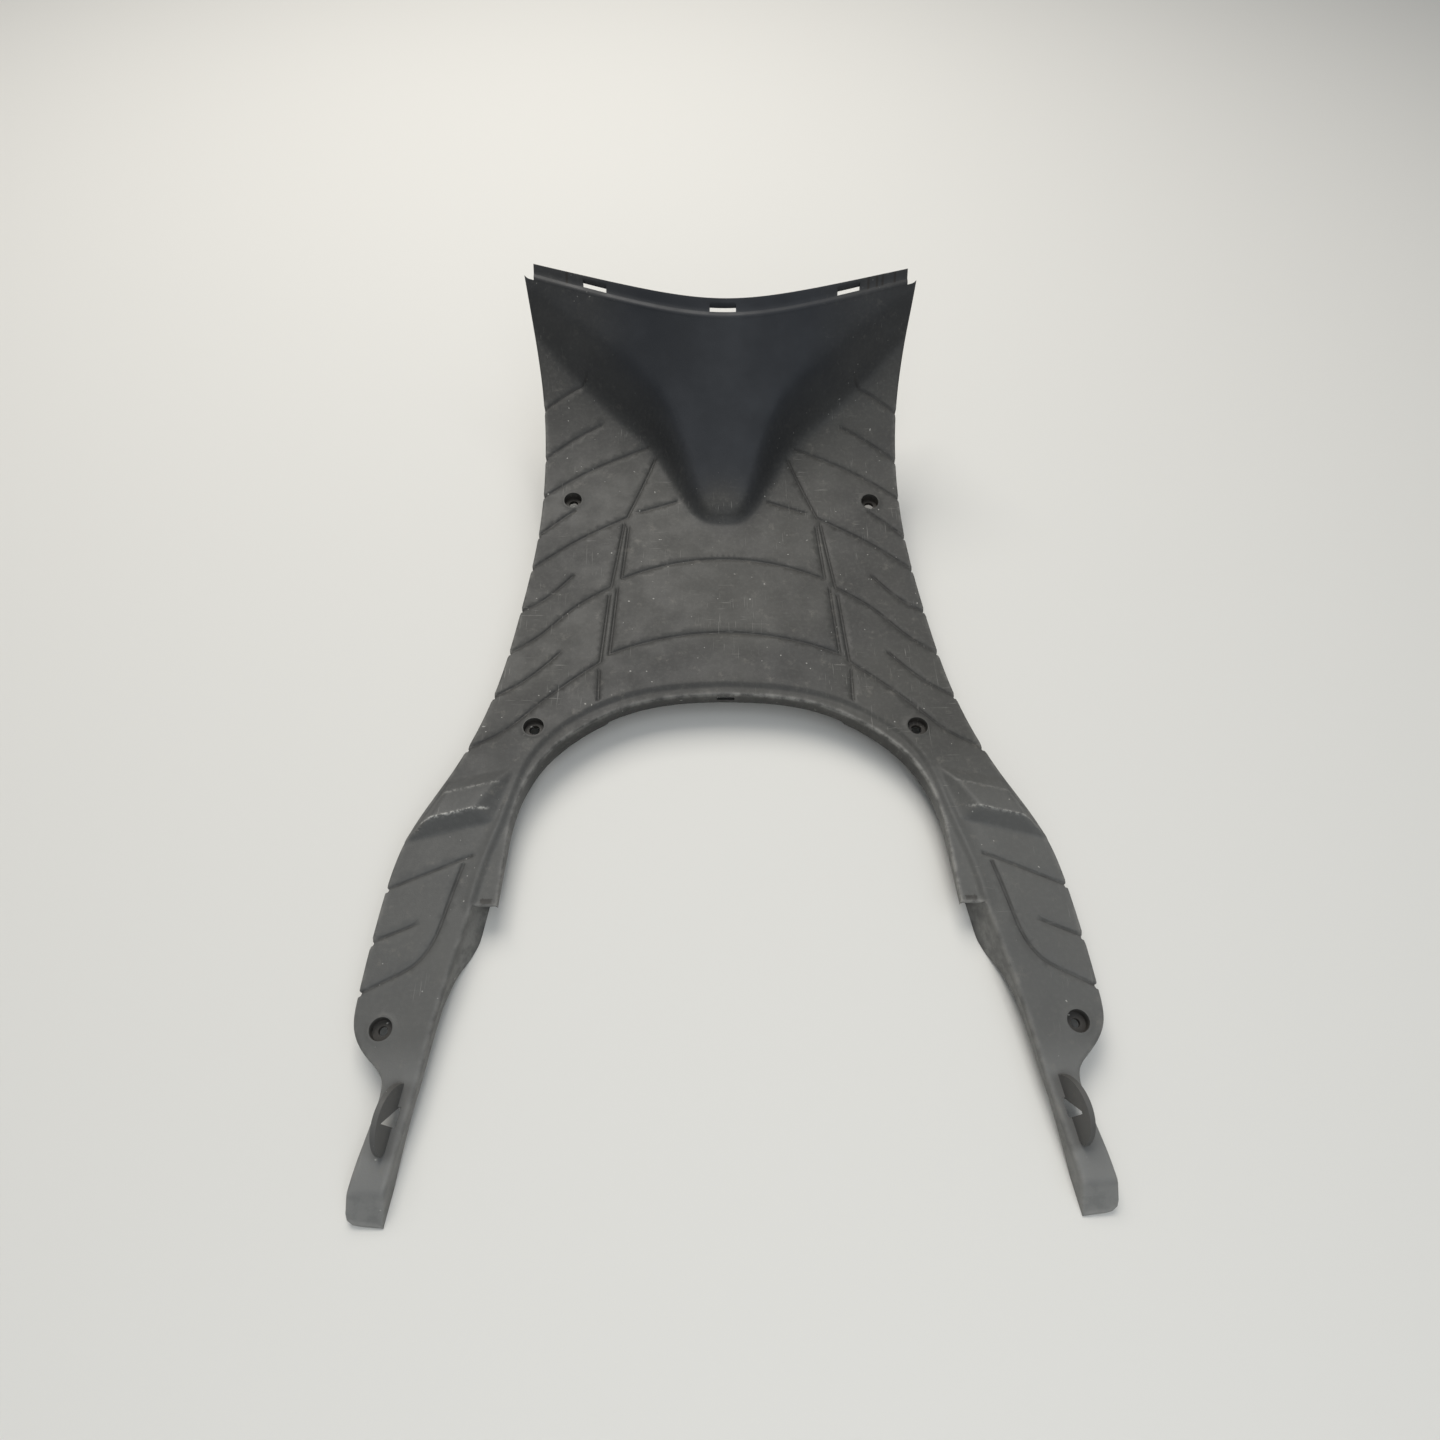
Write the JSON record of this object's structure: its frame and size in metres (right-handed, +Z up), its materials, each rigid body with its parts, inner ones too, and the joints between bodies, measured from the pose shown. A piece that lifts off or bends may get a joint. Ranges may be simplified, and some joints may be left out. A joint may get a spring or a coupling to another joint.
{
  "type": "scooter floorboard",
  "caption": "Moulded plastic foot panel for a motor scooter: grooved deck rising to a nosed front apron with a slotted lip, screw recesses, and rear arms around an open bay.",
  "frame": {"origin": "under the middle of the length and width, on the surface the panel lies on", "axes": "+Y forwards to the lip, +X to the scooter's right, +Z up"},
  "size_m": [0.449, 0.676, 0.159],
  "materials": {
    "moulded_plastic": "matte grained moulding, weathered"
  },
  "bodies": {
    "root": {"floorboard": "moulded_plastic"}
  },
  "joints": []
}
